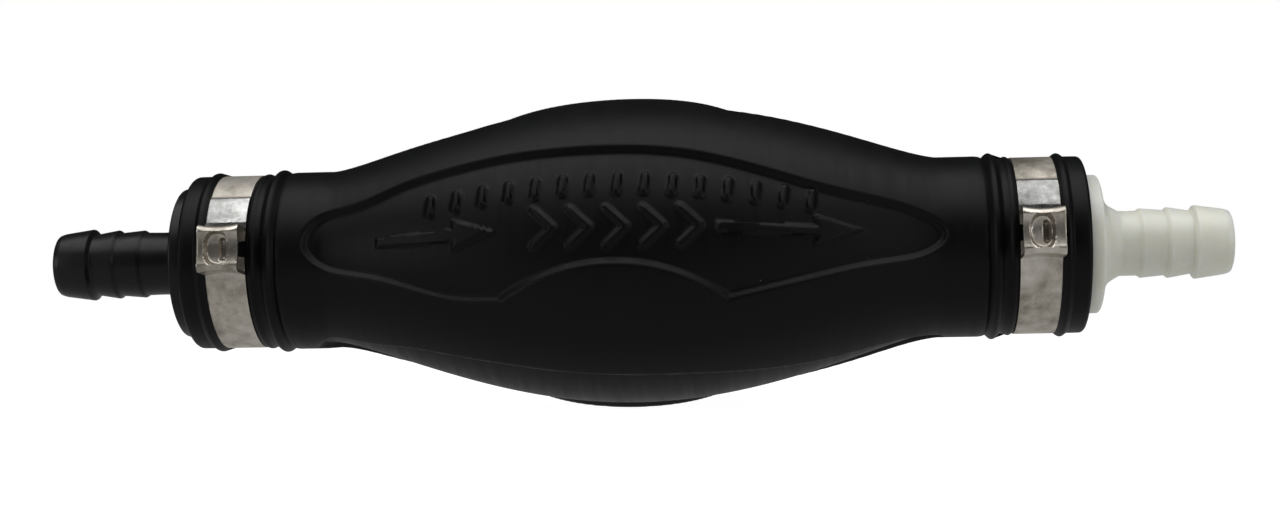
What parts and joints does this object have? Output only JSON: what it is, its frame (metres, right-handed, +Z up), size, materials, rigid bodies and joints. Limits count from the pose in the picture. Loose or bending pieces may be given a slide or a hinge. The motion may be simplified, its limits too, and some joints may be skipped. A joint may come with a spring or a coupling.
{
  "type": "siphon bulb pump",
  "caption": "Hand-squeezed rubber bulb pump with a clamped barbed hose fitting and a spring-loaded check valve at each end.",
  "frame": {"origin": "centre of the bulb, on its axis", "axes": "+X along the flow, from the inlet barb to the outlet barb; -Y is the side with the clamps' ears, which the thumb presses; +Z up"},
  "size_m": [0.187, 0.0494, 0.0494],
  "materials": {
    "rubber": "satin black moulded rubber",
    "black_acetal": "satin black moulded acetal",
    "natural_nylon": "milky, slightly translucent natural nylon",
    "stainless_steel": "rolled stainless strip, polished at the crimp",
    "valve_plastic": "white moulded acetal",
    "seal_rubber": "black nitrile",
    "spring_steel": "bright stainless spring wire"
  },
  "bodies": {
    "housing": {"bulb_shell": "rubber", "inlet_fitting": "black_acetal", "outlet_fitting": "natural_nylon", "inlet_clamp": "stainless_steel", "outlet_clamp": "stainless_steel", "inlet_snap_ring": "spring_steel", "inlet_valve_seat": "valve_plastic", "inlet_valve_o_ring": "seal_rubber", "inlet_valve_spring": "spring_steel", "inlet_valve_cage": "valve_plastic", "outlet_snap_ring": "spring_steel", "outlet_valve_seat": "valve_plastic", "outlet_valve_o_ring": "seal_rubber", "outlet_valve_spring": "spring_steel", "outlet_valve_cage": "valve_plastic"},
    "front_wall": {"bulb_front_wall": "rubber"},
    "back_wall": {"bulb_back_wall": "rubber"},
    "inlet_poppet": {"inlet_valve_poppet": "valve_plastic", "inlet_valve_seal": "seal_rubber"},
    "outlet_poppet": {"outlet_valve_poppet": "valve_plastic", "outlet_valve_seal": "seal_rubber"}
  },
  "joints": [
    {"name": "squeeze_front", "type": "slide", "parent": "housing", "child": "front_wall", "axis": [0, 1, 0], "range_m": [0, 0.01], "stiffness_N_per_m": 5000},
    {"name": "squeeze_back", "type": "slide", "parent": "housing", "child": "back_wall", "axis": [0, -1, 0], "range_m": [0, 0.01], "stiffness_N_per_m": 5000},
    {"name": "inlet_valve_lift", "type": "slide", "parent": "housing", "child": "inlet_poppet", "axis": [1, 0, 0], "range_m": [0, 0.0016], "stiffness_N_per_m": 43, "springref_m": -0.002, "deforming": ["inlet_valve_spring"]},
    {"name": "outlet_valve_lift", "type": "slide", "parent": "housing", "child": "outlet_poppet", "axis": [1, 0, 0], "range_m": [0, 0.0016], "stiffness_N_per_m": 43, "springref_m": -0.002, "deforming": ["outlet_valve_spring"]}
  ],
  "couplings": [
    {"joint": "squeeze_back", "follows": "squeeze_front", "ratio": 1}
  ]
}
